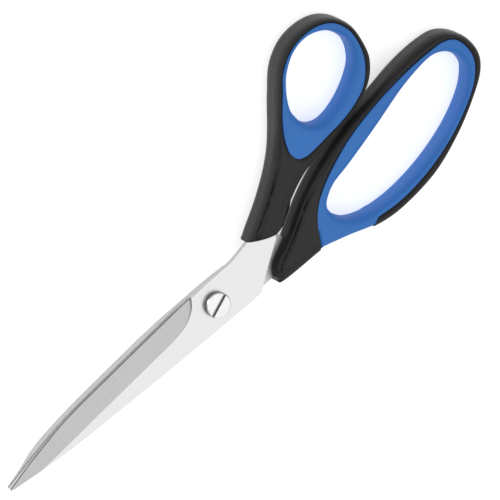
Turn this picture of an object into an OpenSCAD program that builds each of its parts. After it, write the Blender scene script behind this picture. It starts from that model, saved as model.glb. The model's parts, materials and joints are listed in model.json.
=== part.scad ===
// Office scissors, 10 inch class, right-handed, drawn closed and lying flat.
// X runs from the blade tips to the bows, Y points to the thumb bow, Z is up.

/* [Blades] */
// Thickness of each blade blank
blade_t = 2.4; // [2.0:0.1:2.8]
// Running gap between the two blades
blade_gap = 0.1; // [0.08:0.01:0.2]
// Thickness left at the ground edge
edge_t = 0.9; // [0.6:0.1:1.2]
// Width of the wide ground bevel
bevel_w = 8.2; // [7:0.1:9]

/* [Pivot] */
// Diameter of the screw head
head_d = 10.4; // [9:0.1:11]
// Height of the screw head above the upper blade
head_h = 2.2; // [1.6:0.1:2.6]
// Width of the screwdriver slot
slot_w = 1.1; // [0.7:0.1:1.2]
// Diameter of the shoulder that the upper blade turns on
shoulder_d = 6; // [5:0.1:7]
// Diameter of the threaded end
thread_d = 5; // [4:0.1:5.5]
// Across flats of the nut
nut_af = 8; // [7.5:0.1:9]
// Height of the nut
nut_h = 2.7; // [2.4:0.1:2.7]
// Diameter of the friction washer between the blades
washer_d = 11; // [9:0.1:12]

/* [Handles] */
// Thickness of both handles
handle_t = 12.5; // [12:0.1:13]
// Edge rounding of the hard handle shells
shell_r = 2.6; // [1.5:0.1:3]
// How far the soft lining bulges into the bow
lining_bulge = 2.4; // [1:0.1:2.8]
// Distance from the blades' pivot to the middle of the closed outline, along X
pivot_x = -17.3; // [-19:0.1:-15]
// Distance from the blades' pivot to the middle of the closed outline, along Y
pivot_y = -23.3; // [-25:0.1:-21]

/* [Hidden] */
$fn = 96;
mate_z = handle_t / 2;
upper_z = mate_z + blade_gap / 2;
lower_z = mate_z - blade_gap / 2 - blade_t;
upper_top = upper_z + blade_t;
head_gap = 0.05;
bore_gap = 0.03;
recess = 0.15;
washer_play = 0.04;
washer_t = blade_gap + 2 * recess - washer_play;
spring_t = 0.6;
nut_z = lower_z - spring_t - nut_h;
seam_gap = 0.02;
// Largest share of a rib's width that rounding may take
round_share = 0.6;
// Intervals up the seam wall
seam_rows = 12;
steps = 5;
rim_drop = 0.3;
core_w = 2.4;
core_r = 1;
core_min = 0.8;
lip_gap = 0.3;
black = [0.16, 0.16, 0.17];
blue = [0.26, 0.47, 0.77];
steel = [0.82, 0.83, 0.84];

// Closed and open curves that pass through hand-set points
function knot(a, b, c, d, t) = (2 * b + (c - a) * t + (2 * a - 5 * b + 4 * c - d) * t * t
    + (3 * b - a - 3 * c + d) * t * t * t) / 2;
function loop(p, n = steps) = let (k = len(p))
    [for (i = [0 : k - 1], j = [0 : n - 1])
        knot(p[(i + k - 1) % k], p[i], p[(i + 1) % k], p[(i + 2) % k], j / n)];
function bend(p, n = steps) = let (k = len(p) - 1)
    [for (i = [0 : k - 1], j = [0 : n - 1]) knot(p[max(i - 1, 0)], p[i], p[i + 1], p[min(i + 2, k)], j / n),
        p[k]];
function flip(p) = [for (i = [len(p) - 1 : -1 : 0]) [p[i][0], -p[i][1]]];

// A closed tube whose cross-sections are the rows of rings
module sweep(rings) {
    n = len(rings);
    m = len(rings[0]);
    polyhedron(points = [for (r = rings) each r],
        faces = [for (i = [0 : n - 1], j = [0 : m - 1])
            let (a = i * m + j, b = i * m + (j + 1) % m, c = ((i + 1) % n) * m + (j + 1) % m,
                d = ((i + 1) % n) * m + j)
            each [[a, c, b], [a, d, c]]], convexity = 6);
}

// Hard shell between the seam and the outer edge, rounded along the outer edge.
// From station first to station last only a slim core is left, under the soft grip.
function shell_rings(seam, edge, first = 1, last = 0) = [for (i = [0 : len(seam) - 1])
    let (cored = i >= first && i <= last, s = seam[i], v = edge[i] - s, w = norm(v),
        e = cored ? s + v * max(core_min, w - core_w) / w : edge[i],
        r = min(cored ? core_r : shell_r, round_share * norm(e - s)),
        low = cored ? core_w : 0, high = handle_t - low)
    concat([[s[0], s[1], low], [s[0], s[1], high]],
        [for (a = [90, 60, 30, 0])
            let (q = e - v * r * (1 - cos(a)) / w) [q[0], q[1], high - r + r * sin(a)]],
        [for (a = [0, 30, 60, 90])
            let (q = e - v * r * (1 - cos(a)) / w) [q[0], q[1], low + r - r * sin(a)]])];

// Soft lining between the seam and the hole, bulging inwards at half height
function lining_ring(s, hole) = let (v = s - hole, w = norm(v), b = min(lining_bulge, round_share * w))
    [for (a = [-90 : 30 : 90]) let (q = hole + v * (b / w) * (1 - cos(a)))
        [q[0], q[1], mate_z + (mate_z - rim_drop) * sin(a)]];

// Lining with the part that wraps the core, from station first to station last, as far as the outer edge
function grip_rings(seam, hole, edge, first = 1, last = 0) = [for (i = [0 : len(seam) - 1])
    let (v = seam[i] - hole[i], s = hole[i] + v * (1 - seam_gap / norm(v)), e = edge[i], u = e - s,
        w = norm(u), c = s + u * max(core_min, w - core_w) / w, lip = s + u * lip_gap / w,
        r = min(shell_r, round_share * w), wrap = i >= first && i <= last)
    concat(wrap
        ? concat([for (a = [90, 45, 0]) let (q = e - u * r * (1 - cos(a)) / w)
                [q[0], q[1], handle_t - r + r * sin(a)]],
            [for (a = [0, 45, 90]) let (q = e - u * r * (1 - cos(a)) / w) [q[0], q[1], r - r * sin(a)]],
            [[lip[0], lip[1], 0], [lip[0], lip[1], core_w], [c[0], c[1], core_w],
                [c[0], c[1], handle_t - core_w], [s[0], s[1], handle_t - core_w]])
        : [for (k = [seam_rows - 1 : -1 : 1])
            [s[0], s[1], rim_drop + (handle_t - 2 * rim_drop) * k / seam_rows]],
        [[s[0], s[1], rim_drop]], lining_ring(s, hole[i]), [[s[0], s[1], handle_t - (wrap ? 0 : rim_drop)]])];

// Each row is one rib across the bow: hole, seam and outer edge, counterclockwise
thumb_ribs = [
    [[71.6, 33.2], [60.5, 25.2], [36.2, 6.4]],
    [[73.8, 31.4], [64, 24.3], [46, 13]],
    [[77, 30.4], [70, 24.6], [55.5, 17.9]],
    [[81, 30.6], [76, 25.2], [65, 20.8]],
    [[86, 32], [82, 25.8], [76, 23]],
    [[91, 34.2], [90, 27.6], [88, 25.2]],
    [[96, 37.3], [98, 31.4], [99.6, 30.2]],
    [[100.3, 41.2], [103.8, 38.6], [105.8, 37]],
    [[103, 47], [106, 46], [108.1, 44.6]],
    [[102.6, 52.5], [105.8, 54], [108.1, 53.7]],
    [[98.6, 58.8], [101.8, 60.8], [103.9, 61.6]],
    [[91, 62.4], [93.8, 64.2], [96.2, 66]],
    [[83.2, 61.3], [83.6, 63.4], [85, 66.2]],
    [[76.2, 56.2], [75, 58.4], [74.8, 61]],
    [[72, 50.5], [69.2, 50.8], [66.4, 51]],
    [[69.8, 45.4], [64.2, 44], [58.7, 40.2]],
    [[69, 41.8], [60.4, 37.4], [49.3, 29.7]],
    [[69.2, 39], [58.3, 31], [38.2, 20.8]],
    [[69.6, 36.8], [58.5, 28], [26.6, 13.3]],
    [[70.4, 34.9], [59.2, 26.3], [24.9, 11.1]],
];
finger_ribs = [
    [[58.5, -0.4], [50.9, -1], [25.2, -8.6]],
    [[58.6, -1.6], [50.3, -2], [27.6, -10.4]],
    [[58.9, -3], [49.7, -3], [45.6, -10.9]],
    [[60.2, -5.6], [51, -7], [49.5, -11.6]],
    [[63, -8.8], [54.6, -10], [53.4, -12.8]],
    [[68, -11.4], [63, -13], [59, -14.6]],
    [[76, -13.4], [73, -15.9], [71.4, -18.9]],
    [[88, -13.7], [86, -16.8], [84, -20.1]],
    [[102, -11.8], [101.5, -14.6], [102, -17.9]],
    [[117, -7.4], [117, -9.6], [118.6, -11.4]],
    [[129, -1.1], [131, -2], [132, -3.6]],
    [[135.4, 5.6], [138.2, 4.8], [140.2, 2.8]],
    [[136.6, 10], [140.8, 11.6], [143.9, 10]],
    [[135.4, 15], [139.2, 19.4], [142.6, 18.7]],
    [[131.8, 18.8], [134.4, 22.8], [136.3, 25.6]],
    [[127, 20.8], [127, 23.6], [127, 27.7]],
    [[120.6, 20.4], [114.4, 23.4], [114.3, 27.3]],
    [[110, 18.2], [98, 21.6], [100, 24.7]],
    [[93, 13.2], [81.5, 18], [83.3, 21.8]],
    [[76.4, 8.8], [67.4, 12.4], [68.5, 17.9]],
    [[66, 6.5], [58, 7], [53, 11.3]],
    [[60.6, 3.4], [53.2, 2.4], [38.5, 2.2]],
    [[58.8, 1], [51.8, 0.4], [28.4, -3.5]],
];
// Stations of the index finger rest
rest_first = 2 * steps;
rest_last = 6 * steps - 1;

function column(ribs, k) = loop([for (r = ribs) r[k]]);
thumb_hole = column(thumb_ribs, 0);
thumb_seam = column(thumb_ribs, 1);
thumb_edge = column(thumb_ribs, 2);
finger_hole = column(finger_ribs, 0);
finger_seam = column(finger_ribs, 1);
finger_edge = column(finger_ribs, 2);

// Blade outlines, counterclockwise from the tip. The cutting edge runs from edge_heel to edge_far and on.
edge_heel = [-13, 8.9];
edge_far = [-65, 5.5];
upper_tang = [[36.2, 8.6], [43, 14.5], [51, 19.8], [56, 24], [53, 29.5], [44, 22], [32, 14.6]];
upper_outline = concat([[-109.6, -2.4], [-109.3, -2.9], [-108.6, -3.2]],
    bend([[-106, -3.5], [-98.7, -4.3], [-84, -5.8], [-68, -6.8], [-24, -8.4], [4, -9], [16, -9],
        [19.4, -7.3], [24, -3.4], [34.6, 4.6]]), upper_tang,
    bend([[23.6, 11.3], [14.2, 9.6], [5, 9.5], edge_heel, [-39, 7.2], edge_far, [-78, 4.2], [-87, 2.6],
        [-97, 0.7], [-105, -1.2], [-108.9, -2]]));
lower_tang = [[30, -7.4], [37.5, -6], [43.5, -2.2], [49.5, 4.6], [55.5, 9.6], [51.5, 8.8], [43, 3.4],
    [38.5, 1.2], [36.8, 4.4]];
lower_outline = concat([[-109.4, -2.1], [-109.1, -2.6], [-108.4, -2.9]],
    bend([[-105, -3.2], [-98, -3.7], [-84, -5], [-68, -6], [-24, -7.6], [4, -8.4], [24.6, -8.4]]),
    lower_tang,
    bend([[30, 5], [23, 6], [17.6, 7.3], [12, 8.5], [4, 9], [-8, 9.2], [-27.5, 9], [-47, 7.8], [-67, 6.4],
        [-80, 5], [-92, 3.1], [-101, 0.3], [-108.8, -1.6]]));

// Ground area of a blade, seen from above, with its rounded heel
ground_area = concat([[-120, -20], [-89, -5.4]],
    bend([[-68, -2.8], [-45, -1.4], [-33, -0.8], [-23.5, 0], [-15, 1.7], [-9.8, 4.8], [-7.4, 8], [-5.4, 12]]),
    [[-120, 12]]);
edge_slope = atan((edge_heel[1] - edge_far[1]) / (edge_heel[0] - edge_far[0]));

// Stock that grinding takes off above the bevel, which falls to the edge on the +Y side
module grinding() {
    drop = atan((blade_t - edge_t) / bevel_w);
    intersection() {
        translate([0, 0, -5]) linear_extrude(20) polygon(ground_area);
        translate([edge_heel[0], edge_heel[1], edge_t]) rotate([0, 0, edge_slope]) rotate([-drop, 0, 0])
            translate([-130, -30, 0]) cube([160, 60, 8]);
    }
}

// A pivoted blade, flat face down, bevel up
module blank(outline) {
    difference() {
        linear_extrude(blade_t) polygon(outline);
        translate([0, 0, -1]) cylinder(h = blade_t + 2, d = shoulder_d + 2 * bore_gap);
        translate([0, 0, -1]) cylinder(h = 1 + recess, d = washer_d + 4 * bore_gap);
        grinding();
    }
}

module place() { translate([pivot_x, pivot_y, 0]) children(); }

module upper_blade() {
    color(steel) place() translate([0, 0, upper_z]) blank(upper_outline);
}

module lower_blade() {
    color(steel) place() translate([0, 0, lower_z + blade_t]) rotate([180, 0, 0]) blank(flip(lower_outline));
}

module thumb_handle() { color(black) place() sweep(shell_rings(thumb_seam, thumb_edge)); }

module thumb_grip() { color(blue) place() sweep(grip_rings(thumb_seam, thumb_hole, thumb_edge)); }

module finger_handle() {
    color(black) place() sweep(shell_rings(finger_seam, finger_edge, rest_first, rest_last));
}

module finger_grip() {
    color(blue) place() sweep(grip_rings(finger_seam, finger_hole, finger_edge, rest_first, rest_last));
}

module pivot_screw() {
    head_z = upper_top + head_gap;
    bevel = 0.4;
    tail = 0.1;
    slot_depth = 1.2;
    slot_turn = 23;
    color(steel) place() difference() {
        union() {
            translate([0, 0, head_z]) cylinder(h = head_h - bevel, d = head_d);
            translate([0, 0, head_z + head_h - bevel])
                cylinder(h = bevel, d1 = head_d, d2 = head_d - 2 * bevel);
            translate([0, 0, lower_z]) cylinder(h = head_z - lower_z, d = shoulder_d);
            translate([0, 0, nut_z - tail]) cylinder(h = lower_z - nut_z + tail, d = thread_d);
        }
        translate([0, 0, head_z + head_h]) rotate([0, 0, slot_turn])
            cube([2 * head_d, slot_w, 2 * slot_depth], center = true);
    }
}

module pivot_nut() {
    color(steel) place() translate([0, 0, nut_z]) difference() {
        cylinder(h = nut_h, d = nut_af / cos(30), $fn = 6);
        translate([0, 0, -1]) cylinder(h = nut_h + 2, d = thread_d + 2 * bore_gap);
    }
}

module friction_washer() {
    color("wheat") place() translate([0, 0, mate_z - washer_t / 2]) difference() {
        cylinder(h = washer_t, d = washer_d);
        translate([0, 0, -1]) cylinder(h = washer_t + 2, d = shoulder_d + 2 * bore_gap);
    }
}

// Domed washer, flat against the blade at its rim
module spring_washer() {
    outer_r = 4.8;
    inner_r = thread_d / 2 + 0.1;
    leaf = 0.4;
    rise = spring_t - leaf;
    color(steel) place() translate([0, 0, lower_z - spring_t]) rotate_extrude()
        polygon([[inner_r, 0], [inner_r, leaf], [outer_r, spring_t], [outer_r, rise]]);
}

upper_blade();
lower_blade();
thumb_handle();
thumb_grip();
finger_handle();
finger_grip();
pivot_screw();
pivot_nut();
friction_washer();
spring_washer();
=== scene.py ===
import bpy
import bmesh
import json
import math
import numpy as np
from mathutils import Matrix, Vector


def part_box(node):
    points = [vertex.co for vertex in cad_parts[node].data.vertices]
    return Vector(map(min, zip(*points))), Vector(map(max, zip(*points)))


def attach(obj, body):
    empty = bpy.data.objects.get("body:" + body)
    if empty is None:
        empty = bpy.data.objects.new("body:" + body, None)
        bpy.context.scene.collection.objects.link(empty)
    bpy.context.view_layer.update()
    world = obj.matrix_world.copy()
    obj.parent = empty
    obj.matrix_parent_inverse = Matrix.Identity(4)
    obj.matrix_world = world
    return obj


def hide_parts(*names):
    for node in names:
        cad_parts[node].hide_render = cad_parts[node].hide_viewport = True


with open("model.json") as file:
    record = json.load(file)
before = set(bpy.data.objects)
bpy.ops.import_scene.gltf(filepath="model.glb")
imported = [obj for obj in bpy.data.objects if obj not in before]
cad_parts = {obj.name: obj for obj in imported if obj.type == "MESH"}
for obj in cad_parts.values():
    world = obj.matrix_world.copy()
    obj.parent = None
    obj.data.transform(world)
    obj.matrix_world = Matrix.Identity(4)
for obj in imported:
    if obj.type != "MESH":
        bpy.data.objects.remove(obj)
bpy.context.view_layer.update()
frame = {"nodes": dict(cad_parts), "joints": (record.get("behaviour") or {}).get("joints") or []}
mm = 0.001
print("frame loaded:", ", ".join(sorted(frame["nodes"])))

# The pivot comes from the joint, so every outline below is measured from it in millimetres
pivot = Vector(frame["joints"][0]["pos_m"])
shellLow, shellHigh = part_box("finger_handle")
halfHeight = (shellHigh.z - shellLow.z) / 2 / mm
middle = (shellHigh.z + shellLow.z) / 2


# Camera and light
view = {"elevation": 62.0, "turn": 24.8, "roll": 26.8, "width": 0.195, "lens": 1200.0,
        "target": (0.0068, -0.0163, 0.006), "clipEnd": 20}


def cameraAxes(elevation, turn, roll):
    e, t, r = (math.radians(a) for a in (elevation, turn, roll))
    along = Vector((math.cos(t), math.sin(t), 0))
    across = Vector((math.sin(t) * math.sin(e), -math.cos(t) * math.sin(e), math.cos(e)))
    right = math.sin(r) * along + math.cos(r) * across
    up = math.cos(r) * along - math.sin(r) * across
    return right, up, right.cross(up)


def addCamera():
    data = bpy.data.cameras.new("camera")
    data.lens = view["lens"]
    camera = bpy.data.objects.new("camera", data)
    bpy.context.scene.collection.objects.link(camera)
    right, up, back = cameraAxes(view["elevation"], view["turn"], view["roll"])
    distance = view["width"] * view["lens"] / data.sensor_width
    place = Matrix((right, up, back)).transposed().to_4x4()
    place.translation = Vector(view["target"]) + back * distance
    camera.matrix_world = place
    data.clip_end = view["clipEnd"]
    bpy.context.scene.camera = camera


def addLight(name, place, size, power):
    data = bpy.data.lights.new(name, "AREA")
    data.shape = "DISK"
    data.size = size
    data.energy = power
    lamp = bpy.data.objects.new(name, data)
    bpy.context.scene.collection.objects.link(lamp)
    lamp.location = place
    lamp.rotation_euler = (Vector((0, 0, 0)) - Vector(place)).to_track_quat("-Z", "Y").to_euler()


lights = {"key": ((-0.45, 0.6, 0.55), 0.4, 1.5), "top": ((0.22, -0.46, 0.9), 1.2, 3.2)}
worldLight = {"colour": (1, 1, 1, 1), "strength": 0.55}


# Materials
texture = {"fineDetail": 3, "slowDetail": 4, "slowScale": 90, "slowShare": 0.3, "low": 0.3, "high": 0.7}


def newGroup(name, inputs, outputs):
    group = bpy.data.node_groups.new(name, "ShaderNodeTree")
    for label, value in inputs.items():
        socket = group.interface.new_socket(label, in_out="INPUT", socket_type="NodeSocketFloat")
        socket.default_value = value
    for label in outputs:
        group.interface.new_socket(label, in_out="OUTPUT", socket_type="NodeSocketFloat")
    return group, group.nodes.new("NodeGroupInput"), group.nodes.new("NodeGroupOutput")


def buildGrain():
    # Fine moulded texture: a height for the bump and a slow drift for the gloss
    group, start, end = newGroup("mouldedGrain", {"Scale": 2500.0, "Drift": 60.0}, ["Height", "Patch"])
    coords = group.nodes.new("ShaderNodeTexCoord")
    fine = group.nodes.new("ShaderNodeTexNoise")
    fine.inputs["Detail"].default_value = texture["fineDetail"]
    slow = group.nodes.new("ShaderNodeTexNoise")
    slow.inputs["Detail"].default_value = texture["slowDetail"]
    link = group.links.new
    link(coords.outputs["Object"], fine.inputs["Vector"])
    link(coords.outputs["Object"], slow.inputs["Vector"])
    link(start.outputs["Scale"], fine.inputs["Scale"])
    link(start.outputs["Drift"], slow.inputs["Scale"])
    link(fine.outputs["Fac"], end.inputs["Height"])
    link(slow.outputs["Fac"], end.inputs["Patch"])
    return group


def buildBrushing():
    # Long thin scratches: noise squeezed along the grinding direction
    group, start, end = newGroup("brushedLines", {"Turn": 0.0, "Along": 60.0, "Across": 5000.0},
                                 ["Height", "Patch"])
    coords = group.nodes.new("ShaderNodeTexCoord")
    spin = group.nodes.new("ShaderNodeVectorRotate")
    spin.rotation_type = "Z_AXIS"
    stretch = group.nodes.new("ShaderNodeVectorMath")
    stretch.operation = "MULTIPLY"
    scale = group.nodes.new("ShaderNodeCombineXYZ")
    lines = group.nodes.new("ShaderNodeTexNoise")
    lines.inputs["Scale"].default_value = 1
    lines.inputs["Detail"].default_value = texture["fineDetail"]
    slow = group.nodes.new("ShaderNodeTexNoise")
    slow.inputs["Scale"].default_value = texture["slowScale"]
    link = group.links.new
    link(coords.outputs["Object"], spin.inputs["Vector"])
    link(start.outputs["Turn"], spin.inputs["Angle"])
    link(start.outputs["Across"], scale.inputs["X"])
    link(start.outputs["Along"], scale.inputs["Y"])
    link(start.outputs["Along"], scale.inputs["Z"])
    link(spin.outputs["Vector"], stretch.inputs[0])
    link(scale.outputs["Vector"], stretch.inputs[1])
    link(stretch.outputs["Vector"], lines.inputs["Vector"])
    link(coords.outputs["Object"], slow.inputs["Vector"])
    blend = group.nodes.new("ShaderNodeMix")
    blend.inputs["Factor"].default_value = texture["slowShare"]
    link(lines.outputs["Fac"], blend.inputs["A"])
    link(slow.outputs["Fac"], blend.inputs["B"])
    link(lines.outputs["Fac"], end.inputs["Height"])
    link(blend.outputs["Result"], end.inputs["Patch"])
    return group


grain = buildGrain()
brushing = buildBrushing()


def shade(name, group, settings, dark, light, rough, bump, metallic=0.0, specular=0.5):
    # Colour and gloss follow the group's patches, and the bump follows its height
    material = bpy.data.materials.new(name)
    material.use_nodes = True
    nodes, link = material.node_tree.nodes, material.node_tree.links.new
    shader = nodes["Principled BSDF"]
    shader.inputs["Metallic"].default_value = metallic
    shader.inputs["Specular IOR Level"].default_value = specular
    effect = nodes.new("ShaderNodeGroup")
    effect.node_tree = group
    for label, value in settings.items():
        effect.inputs[label].default_value = value
    colour = nodes.new("ShaderNodeMix")
    colour.data_type = "RGBA"
    colour.inputs["A"].default_value = (*dark, 1)
    colour.inputs["B"].default_value = (*light, 1)
    spread = nodes.new("ShaderNodeMapRange")
    spread.inputs["From Min"].default_value = texture["low"]
    spread.inputs["From Max"].default_value = texture["high"]
    gloss = nodes.new("ShaderNodeMapRange")
    gloss.inputs["To Min"].default_value = rough[0]
    gloss.inputs["To Max"].default_value = rough[1]
    relief = nodes.new("ShaderNodeBump")
    relief.inputs["Strength"].default_value = bump[0]
    relief.inputs["Distance"].default_value = bump[1] * mm
    link(effect.outputs["Patch"], spread.inputs["Value"])
    link(spread.outputs["Result"], colour.inputs["Factor"])
    link(spread.outputs["Result"], gloss.inputs["Value"])
    link(colour.outputs["Result"], shader.inputs["Base Color"])
    link(gloss.outputs["Result"], shader.inputs["Roughness"])
    link(effect.outputs["Height"], relief.inputs["Height"])
    link(relief.outputs["Normal"], shader.inputs["Normal"])
    return material


blackPlastic = shade("blackPlastic", grain, {"Scale": 3500, "Drift": 70}, (0.017, 0.0165, 0.017),
                     (0.023, 0.022, 0.023), (0.36, 0.46), (0.2, 0.03), specular=0.22)
blueRubber = shade("blueRubber", grain, {"Scale": 4500, "Drift": 50}, (0.033, 0.168, 0.52),
                   (0.040, 0.188, 0.57), (0.50, 0.60), (0.15, 0.03), specular=0.3)
polishedSteel = shade("polishedSteel", brushing, {"Turn": 0.3, "Along": 90, "Across": 2200},
                      (0.60, 0.60, 0.60), (0.68, 0.68, 0.68), (0.32, 0.42), (0.06, 0.02), metallic=1)
# Ground bevel: a duller ground finish, darkened further as painted shade for the bevel's tilt away from the
# light
groundFinishAndShadeSteel = shade("groundFinishAndShadeSteel", brushing, {"Turn": 0.06, "Along": 90, "Across": 3200},
                    (0.46, 0.46, 0.46), (0.59, 0.59, 0.59), (0.36, 0.48), (0.12, 0.02), metallic=1)
# Inner faces and blade walls: a duller hollow-ground steel, darkened further as painted shade where they lie
# in the other blade's shadow
innerDullAndShadeSteel = shade("innerDullAndShadeSteel", brushing, {"Turn": 0.06, "Along": 90, "Across": 3200},
                   (0.42, 0.42, 0.42), (0.54, 0.54, 0.54), (0.34, 0.46), (0.1, 0.02), metallic=1)
# Painted shade: a dark steel for the fine line between the blades and for the screw's walls, standing in for
# the shadow that falls there rather than the metal's own colour
paintedShadeSteel = shade("paintedShadeSteel", brushing, {"Turn": 0.06, "Along": 200, "Across": 900},
                  (0.15, 0.15, 0.15), (0.24, 0.24, 0.24), (0.36, 0.5), (0.1, 0.02), metallic=1)
screwSteel = shade("screwSteel", brushing, {"Turn": 0.9, "Along": 300, "Across": 1800},
                   (0.58, 0.58, 0.57), (0.72, 0.72, 0.71), (0.22, 0.34), (0.12, 0.02), metallic=1)
# Honed edge: a pale, barely metallic steel that paints the bright highlight along the cutting edge
honedHighlightSteel = shade("honedHighlightSteel", brushing, {"Turn": 0.06, "Along": 200, "Across": 2000},
                   (0.78, 0.78, 0.78), (0.88, 0.88, 0.88), (0.40, 0.5), (0.05, 0.02), metallic=0.2)
nylon = shade("nylon", grain, {"Scale": 3000, "Drift": 90}, (0.62, 0.58, 0.48), (0.70, 0.66, 0.56),
              (0.45, 0.6), (0.1, 0.02))
print("materials ready")


# Outlines
# Each row is one rib across the bow: hole, seam and outer edge, counterclockwise, from the pivot.
# Apart from the body, the other values are stations, counted in ribs. The rest is where the soft grip
# covers the rim: its start, the start of the shell's rounded nose, and the nose's end
thumb = {"body": "thumb_half", "creaseFrom": 15.3, "creaseTo": 19.4, "crispTo": 9.0, "rest": None, "ribs": [
    [[71.6, 33.2], [60.5, 25.2], [36.2, 6.4]], [[73.8, 31.4], [64, 24.3], [46, 13]],
    [[77, 30.4], [70, 24.6], [55.5, 17.9]], [[81, 30.6], [76, 25.2], [65, 20.8]],
    [[86, 32], [82, 25.8], [76, 23]], [[91, 34.2], [90, 27.6], [88, 25.2]],
    [[96, 37.3], [98, 31.4], [99.6, 30.2]], [[100.3, 41.2], [103.8, 38.6], [105.8, 37]],
    [[103, 47], [106, 46], [108.1, 44.6]], [[102.6, 52.5], [105.8, 54], [108.1, 53.7]],
    [[98.6, 58.8], [101.8, 60.8], [103.9, 61.6]], [[91, 62.4], [93.8, 64.2], [96.2, 66]],
    [[83.2, 61.3], [83.6, 63.4], [85, 66.2]], [[76.2, 56.2], [75, 58.4], [74.8, 61]],
    [[72, 50.5], [69.2, 50.8], [66.4, 51]], [[69.8, 45.4], [64.2, 44], [58.7, 40.2]],
    [[69, 41.8], [60.4, 37.4], [49.3, 29.7]], [[69.2, 39], [58.3, 31], [38.2, 20.8]],
    [[69.6, 36.8], [58.5, 28], [26.6, 13.3]], [[70.4, 34.9], [59.2, 26.3], [24.9, 11.1]]]}
finger = {"body": "finger_half", "creaseFrom": 19.0, "creaseTo": 22.4, "crispTo": 13.0,
          "rest": (2.0, 5.8, 6.03), "ribs": [
    [[58.5, -0.4], [50.9, -1], [25.2, -8.6]], [[58.6, -1.6], [50.3, -2], [27.6, -10.4]],
    [[58.9, -3], [49.7, -3], [45.6, -10.9]], [[60.2, -5.6], [51, -7], [49.5, -11.6]],
    [[63, -8.8], [54.6, -10], [53.4, -12.8]], [[68, -11.4], [63, -13], [59, -14.6]],
    [[76, -13.4], [73, -15.9], [71.4, -18.9]], [[88, -13.7], [86, -16.8], [84, -20.1]],
    [[102, -11.8], [101.5, -14.6], [102, -17.9]], [[117, -7.4], [117, -9.6], [118.6, -11.4]],
    [[129, -1.1], [131, -2], [132, -3.6]], [[135.4, 5.6], [138.2, 4.8], [140.2, 2.8]],
    [[136.6, 10], [140.8, 11.6], [143.9, 10]], [[135.4, 15], [139.2, 19.4], [142.6, 18.7]],
    [[131.8, 18.8], [134.4, 22.8], [136.3, 25.6]], [[127, 20.8], [127, 23.6], [127, 27.7]],
    [[120.6, 20.4], [114.4, 23.4], [114.3, 27.3]], [[110, 18.2], [98, 21.6], [100, 24.7]],
    [[93, 13.2], [81.5, 18], [83.3, 21.8]], [[76.4, 8.8], [67.4, 12.4], [68.5, 17.9]],
    [[66, 6.5], [58, 7], [53, 11.3]], [[60.6, 3.4], [53.2, 2.4], [38.5, 2.2]],
    [[58.8, 1], [51.8, 0.4], [28.4, -3.5]]]}

# Cross-sections of the mouldings, in millimetres. Rises, fades and nudges are counted in ribs and the
# angle in degrees, while shares, the fullness and the counts of points have no unit
profile = {"perRib": 10, "topPoints": 34, "wallPoints": 8, "backPoints": 4, "shellNose": 10, "liningNose": 12,
           "corner": 2.3, "cornerDeep": 4.6, "bowCorner": 3.0, "bowDeep": 4.2, "cornerShare": 0.62,
           "bowWidth": 4.5, "neckWidth": 8, "crispDeep": 2.0, "crispRise": 0.4, "crispFade": 2,
           "creaseAt": 1.9, "creaseWide": 0.6, "creaseDeep": 1.6, "creaseRise": 1.2, "creaseFade": 0.3,
           "panelDrop": 0.3, "panelRamp": 2, "seamDip": 0.22, "seamWide": 0.6, "dome": 0.9, "domeShare": 0.5,
           "liningDrop": 0.3, "bulge": 4.2, "fullness": 2.6, "reachShare": 0.85, "gap": 0.02,
           "noseNudge": 0.005, "restNudge": 0.002, "weld": 0.002, "smoothAngle": 50}
tiny = 0.05  # keeps a width from reaching nought
tinySquare = 1e-12  # keeps a squared length from reaching nought


def smoothstep(low, high, value):
    x = np.clip((value - low) / (high - low), 0, 1)
    return x * x * (3 - 2 * x)


def ribPoint(ribs, column, t):
    # The closed curve through one column of the ribs
    count = len(ribs)
    i = math.floor(t)
    f = t - i
    a, b, c, d = (np.array(ribs[(i + k) % count][column], float) for k in (-1, 0, 1, 2))
    return (2 * b + (c - a) * f + (2 * a - 5 * b + 4 * c - d) * f * f
            + (3 * b - a - 3 * c + d) * f ** 3) / 2


def toLine(points, line):
    # Distance from each point to a closed polyline, and the nearest segment's number
    steps = np.roll(line, -1, axis=0) - line
    size = np.maximum((steps ** 2).sum(1), tinySquare)
    offset = points[:, None, :] - line[None, :, :]
    share = np.clip((offset * steps).sum(2) / size, 0, 1)
    away = np.linalg.norm(offset - share[..., None] * steps, axis=2)
    return away.min(1), away.argmin(1)


def makeMesh(name, verts, faces, material):
    mesh = bpy.data.meshes.new(name)
    mesh.from_pydata([tuple(v) for v in verts], [], faces)
    mesh.validate()
    bm = bmesh.new()
    bm.from_mesh(mesh)
    bmesh.ops.remove_doubles(bm, verts=bm.verts, dist=profile["weld"] * mm)
    bmesh.ops.recalc_face_normals(bm, faces=bm.faces)
    bm.to_mesh(mesh)
    bm.free()
    mesh.shade_smooth()
    mesh.set_sharp_from_angle(angle=math.radians(profile["smoothAngle"]))
    mesh.materials.append(material)
    piece = bpy.data.objects.new(name, mesh)
    bpy.context.scene.collection.objects.link(piece)
    return piece


def skin(name, rings, material, closed=True):
    # Quads between neighbouring rings, with caps where the run is open
    count, size = len(rings), len(rings[0])
    verts = np.concatenate(rings) * mm
    verts[:, 0] += pivot.x
    verts[:, 1] += pivot.y
    verts[:, 2] += middle
    faces = []
    for i in range(count if closed else count - 1):
        for j in range(size):
            a, b = i * size + j, i * size + (j + 1) % size
            c, d = ((i + 1) % count) * size + (j + 1) % size, ((i + 1) % count) * size + j
            faces.append((a, b, c, d))
    if not closed:
        faces.append(tuple(range(size)))
        faces.append(tuple(reversed(range((count - 1) * size, count * size))))
    return makeMesh(name, verts, faces, material)


def easedSpan(count):
    # Shares from 0 to 1, close together at both ends
    return 0.5 * (1 - np.cos(np.linspace(0, math.pi, count)))


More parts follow.
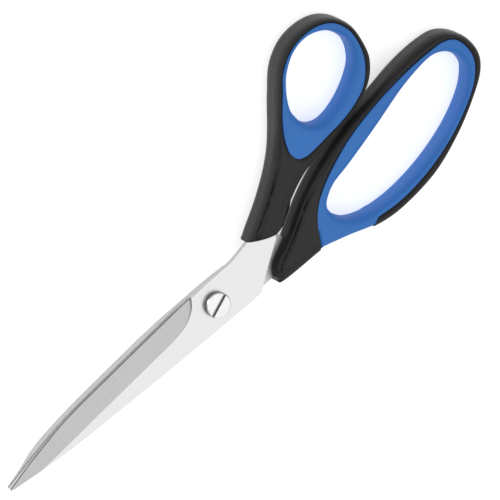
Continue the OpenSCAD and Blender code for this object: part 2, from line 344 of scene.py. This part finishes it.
def creaseStrength(half, t):
    rise = smoothstep(half["creaseFrom"], half["creaseFrom"] + profile["creaseRise"], t)
    fade = profile["creaseFade"]
    return rise * (1 - smoothstep(half["creaseTo"] - fade, half["creaseTo"] + fade, t))


def crispness(half, t):
    # The -Y side of each handle keeps a tighter corner
    fall = smoothstep(half["crispTo"] - profile["crispFade"], half["crispTo"], t)
    return smoothstep(0, profile["crispRise"], t) * (1 - fall)


def nose(half, t):
    # Share of the rim that the soft grip covers, with the hard shell's rounded end
    if not half["rest"]:
        return 0.0
    first, start, end = half["rest"]
    if t < first or t >= end:
        return 0.0
    if t <= start:
        return 1.0
    x = (t - start) / (end - start)
    return 1 - math.sqrt(max(0.0, 1 - (1 - x) ** 2))


def shellTop(half, points, edge, seam, stations):
    toEdge, near = toLine(points, edge)
    toSeam, _ = toLine(points, seam)
    width = toEdge + toSeam
    wide = smoothstep(profile["bowWidth"], profile["neckWidth"], width)
    bowCorner = np.minimum(profile["bowCorner"], profile["cornerShare"] * width)
    corner = (1 - wide) * bowCorner + wide * profile["corner"]
    inside = np.clip(1 - toEdge / np.maximum(corner, tiny), 0, 1)
    crisp = crispness(half, stations[near])
    deep = (1 - wide) * profile["bowDeep"] + wide * profile["cornerDeep"]
    deep = deep + (profile["crispDeep"] - deep) * crisp
    height = halfHeight - deep * (1 - np.sqrt(1 - inside ** 2))
    crease = creaseStrength(half, stations[near])
    height -= crease * profile["creaseDeep"] * np.exp(
        -((toEdge - profile["creaseAt"]) / profile["creaseWide"]) ** 2)
    panel = smoothstep(profile["creaseAt"], profile["creaseAt"] + profile["panelRamp"], toEdge)
    height -= wide * profile["panelDrop"] * panel
    share = toSeam / np.maximum(width, tiny)
    height -= (1 - wide) * profile["dome"] * np.clip(1 - share / profile["domeShare"], 0, 1) ** 2
    height -= profile["seamDip"] * np.exp(-(toSeam / profile["seamWide"]) ** 2)
    return height


def buildShell(name, half, material):
    ribs = half["ribs"]
    count = len(ribs)
    if half["rest"]:
        first, start, end = half["rest"]
        run = np.concatenate([np.linspace(start + profile["noseNudge"], end, profile["shellNose"])[:-1],
                              np.linspace(end, count + first, count * profile["perRib"])])
    else:
        run = np.arange(count * profile["perRib"]) / profile["perRib"]
    loopRun = np.arange(count * profile["perRib"]) / profile["perRib"]
    edge = np.array([ribPoint(ribs, 2, t) for t in loopRun])
    seam = np.array([ribPoint(ribs, 1, t) for t in loopRun])
    shares = easedSpan(profile["topPoints"])
    flat = []
    for t in run:
        outer, inner = ribPoint(ribs, 2, t), ribPoint(ribs, 1, t)
        covered = nose(half, t % count) if half["rest"] and t < count else 0.0
        inner = inner + (outer - inner) * covered
        flat.append(outer + np.outer(shares, inner - outer))
    flat = np.array(flat)
    top = shellTop(half, flat.reshape(-1, 2), edge, seam, loopRun).reshape(flat.shape[:2])
    rings = []
    for plan, height in zip(flat, top):
        upper = np.column_stack([plan, height])
        lower = np.column_stack([plan, -height])[::-1]
        wall = np.linspace(lower[-1], upper[0], profile["wallPoints"])[1:-1]
        back = np.linspace(upper[-1], lower[0], profile["backPoints"])[1:-1]
        rings.append(np.concatenate([upper, back, lower, wall]))
    return skin(name, rings, material, closed=not half["rest"])


def liningTop(plan, hole, bound, edge, covered):
    toHole, _ = toLine(plan, hole)
    toBound, _ = toLine(plan, bound)
    toEdge, _ = toLine(plan, edge)
    full = halfHeight - profile["liningDrop"] * (1 - covered)
    reach = np.minimum(profile["bulge"], profile["reachShare"] * (toHole + toBound))
    inward = np.clip(1 - toHole / np.maximum(reach, tiny), 0, 1)
    height = full * (1 - inward ** profile["fullness"]) ** (1 / profile["fullness"])
    dip = profile["seamDip"] * np.exp(-(toBound / profile["seamWide"]) ** 2)
    height -= (1 - covered) * dip
    corner = np.clip(1 - toEdge / profile["corner"], 0, 1)
    height -= covered * profile["cornerDeep"] * (1 - np.sqrt(1 - corner ** 2))
    return height


def buildLining(name, half, material):
    ribs = half["ribs"]
    count = len(ribs)
    run = list(np.arange(count * profile["perRib"]) / profile["perRib"])
    if half["rest"]:
        # Two stations stand together where the grip ends against the hard shell
        first, start, end = half["rest"]
        noseRun = list(np.linspace(start, end, profile["liningNose"]))
        run = sorted(run + [first - profile["restNudge"]] + noseRun)
    hole = np.array([ribPoint(ribs, 0, t) for t in run])
    edge = np.array([ribPoint(ribs, 2, t) for t in run])
    bound = []
    shareCovered = []
    for t in run:
        inner, seam, outer = (ribPoint(ribs, k, t) for k in (0, 1, 2))
        seam = seam + (inner - seam) * profile["gap"] / np.linalg.norm(inner - seam)
        bound.append(seam + (outer - seam) * nose(half, t))
        shareCovered.append(nose(half, t))
    bound = np.array(bound)
    shares = easedSpan(profile["topPoints"])
    flat = bound[:, None, :] + shares[None, :, None] * (hole - bound)[:, None, :]
    covered = np.repeat(shareCovered, len(shares))
    top = liningTop(flat.reshape(-1, 2), hole, bound, edge, covered).reshape(flat.shape[:2])
    top[:, -1] = 0
    rings = []
    for plan, height in zip(flat, top):
        upper = np.column_stack([plan, height])
        lower = np.column_stack([plan, -height])[::-1][1:]
        wall = np.linspace(lower[-1], upper[0], profile["wallPoints"])[1:-1]
        rings.append(np.concatenate([upper, lower, wall]))
    return skin(name, rings, material)


for label, half in (("thumb", thumb), ("finger", finger)):
    shell = buildShell(label + "Shell", half, blackPlastic)
    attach(shell, half["body"])
    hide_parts(label + "_handle")
    lining = buildLining(label + "Lining", half, blueRubber)
    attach(lining, half["body"])
    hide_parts(label + "_grip")
    print(label, "bow built:", len(shell.data.polygons), "+", len(lining.data.polygons), "faces")


# Metal
metal = {"honed": 0.4, "honedMax": 2.3, "weld": 0.002, "wallTilt": 0.3, "groundTilt": (0.9, 0.9995),
         "cutSide": 0.2, "contact": 0.02, "flatAngle": 0.5, "arrisAngle": 50, "shadeAngle": 12}
soft = {"blade": 0.1, "screw": 0.12, "nut": 0.15, "washer": 0.05}
steels = {"flat": polishedSteel, "ground": groundFinishAndShadeSteel, "inner": innerDullAndShadeSteel, "side": paintedShadeSteel,
          "honed": honedHighlightSteel, "screw": screwSteel, "nylon": nylon}


def isWall(face):
    return abs(face.normal.z) < metal["wallTilt"]


def isGround(face):
    low, high = metal["groundTilt"]
    return low < abs(face.normal.z) < high


def facing(face):
    if isWall(face):
        return "side"
    if isGround(face):
        return "ground"
    return "up" if face.normal.z > 0 else "down"


def honeEdge(bm, up, highlightWallSteel, arrisShadeSteel):
    # The cutting edge: the honed wall takes a pale steel that paints a highlight along the edge, and a fine
    # arris where it meets the wide bevel takes a dark steel that paints the shade line between the blades
    zs = [v.co.z for v in bm.verts]
    flatZ = min(zs) if up > 0 else max(zs)
    cutting = []
    for edge in bm.edges:
        faces = edge.link_faces
        if len(faces) != 2 or not any(isGround(f) for f in faces):
            continue
        walls = [f for f in faces if isWall(f) and f.normal.y * up > metal["cutSide"]
                 and min(abs(v.co.z - flatZ) for v in f.verts) < metal["contact"] * mm]
        if walls:
            cutting.append(edge)
            for wall in walls:
                if max(abs(v.co.z - flatZ) for v in wall.verts) < metal["honedMax"] * mm:
                    wall.material_index = highlightWallSteel
    bmesh.ops.bevel(bm, geom=cutting, offset=metal["honed"] * mm, segments=1, affect="EDGES",
                    clamp_overlap=True, material=arrisShadeSteel)
    bm.normal_update()
    print("honed", len(cutting), "edges")


def softened(name, node, roles, ease, up=0):
    # The imported shape with its arrises eased. Faces take their steel by the way they face, so the darker
    # steels on bevels, walls and inner faces also paint the shade those faces fall in
    mesh = frame["nodes"][node].data.copy()
    mesh.name = name
    bm = bmesh.new()
    bm.from_mesh(mesh)
    bmesh.ops.remove_doubles(bm, verts=bm.verts, dist=metal["weld"] * mm)
    bmesh.ops.dissolve_limit(bm, angle_limit=math.radians(metal["flatAngle"]), verts=bm.verts,
                             edges=bm.edges)
    bmesh.ops.recalc_face_normals(bm, faces=bm.faces)
    order = list(dict.fromkeys(roles.values()))
    for face in bm.faces:
        face.material_index = order.index(roles.get(facing(face), roles["up"]))
    if up:
        honeEdge(bm, up, order.index("honed"), order.index("side"))
    sharp = [e for e in bm.edges if len(e.link_faces) == 2
             and e.calc_face_angle(0) > math.radians(metal["arrisAngle"])]
    bmesh.ops.bevel(bm, geom=sharp, offset=ease * mm, segments=2, profile=0.5, affect="EDGES",
                    clamp_overlap=True)
    mesh.materials.clear()
    for steel in order:
        mesh.materials.append(steels[steel])
    bm.to_mesh(mesh)
    bm.free()
    mesh.shade_smooth()
    mesh.set_sharp_from_angle(angle=math.radians(metal["shadeAngle"]))
    piece = bpy.data.objects.new(name, mesh)
    bpy.context.scene.collection.objects.link(piece)
    weighted = piece.modifiers.new("evenFlats", "WEIGHTED_NORMAL")
    weighted.keep_sharp = True
    return piece


# The honed edge takes the pale steel of the painted highlight and the arris takes the dark steel of the
# painted shade line; the ground and inner steels are darkened partly as painted shade
upperRoles = {"up": "flat", "down": "inner", "ground": "ground", "side": "inner", "edge": "honed",
              "arris": "side"}
lowerRoles = {"up": "inner", "down": "flat", "ground": "ground", "side": "inner", "edge": "honed",
              "arris": "side"}
# The screw's walls take the dark steel as painted shade around the head
screwRoles = {"up": "screw", "side": "side"}
metalPieces = [
    ("upperBlade", "upper_blade", "thumb_half", "blade_steel", upperRoles, soft["blade"], 1),
    ("lowerBlade", "lower_blade", "finger_half", "blade_steel", lowerRoles, soft["blade"], -1),
    ("pivotScrew", "pivot_screw", "finger_half", "screw_steel", screwRoles, soft["screw"], 0),
    ("pivotNut", "pivot_nut", "finger_half", "screw_steel", {"up": "screw"}, soft["nut"], 0),
    ("springWasher", "spring_washer", "finger_half", "screw_steel", {"up": "screw"}, soft["washer"], 0),
    ("frictionWasher", "friction_washer", "finger_half", "washer_nylon", {"up": "nylon"}, soft["washer"],
     0)]
for name, node, body, slotName, roles, ease, up in metalPieces:
    piece = softened(name, node, roles, ease, up)
    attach(piece, body)
    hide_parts(node)
    print(name, "eased:", len(piece.data.polygons), "faces")


# Stage
paper = {"size": 3, "shade": 0.75, "rough": 0.9, "glow": 0.62, "drop": 0.0002}


def addFloor():
    bm = bmesh.new()
    bmesh.ops.create_grid(bm, x_segments=2, y_segments=2, size=paper["size"])
    mesh = bpy.data.meshes.new("floor")
    bm.to_mesh(mesh)
    bm.free()
    material = bpy.data.materials.new("palePaper")
    material.use_nodes = True
    shader = material.node_tree.nodes["Principled BSDF"]
    shader.inputs["Base Color"].default_value = (*[paper["shade"]] * 3, 1)
    shader.inputs["Roughness"].default_value = paper["rough"]
    shader.inputs["Emission Color"].default_value = (1, 1, 1, 1)
    shader.inputs["Emission Strength"].default_value = paper["glow"]
    mesh.materials.append(material)
    floor = bpy.data.objects.new("floor", mesh)
    bpy.context.scene.collection.objects.link(floor)
    floor.location.z = shellLow.z - paper["drop"]


def addWorld():
    world = bpy.data.worlds.new("studio")
    world.use_nodes = True
    background = world.node_tree.nodes["Background"]
    background.inputs["Color"].default_value = worldLight["colour"]
    background.inputs["Strength"].default_value = worldLight["strength"]
    bpy.context.scene.world = world
    bpy.context.scene.view_settings.view_transform = "Standard"


addCamera()
addWorld()
addFloor()
for name, (place, size, power) in lights.items():
    addLight(name, place, size, power)
print("stage set")
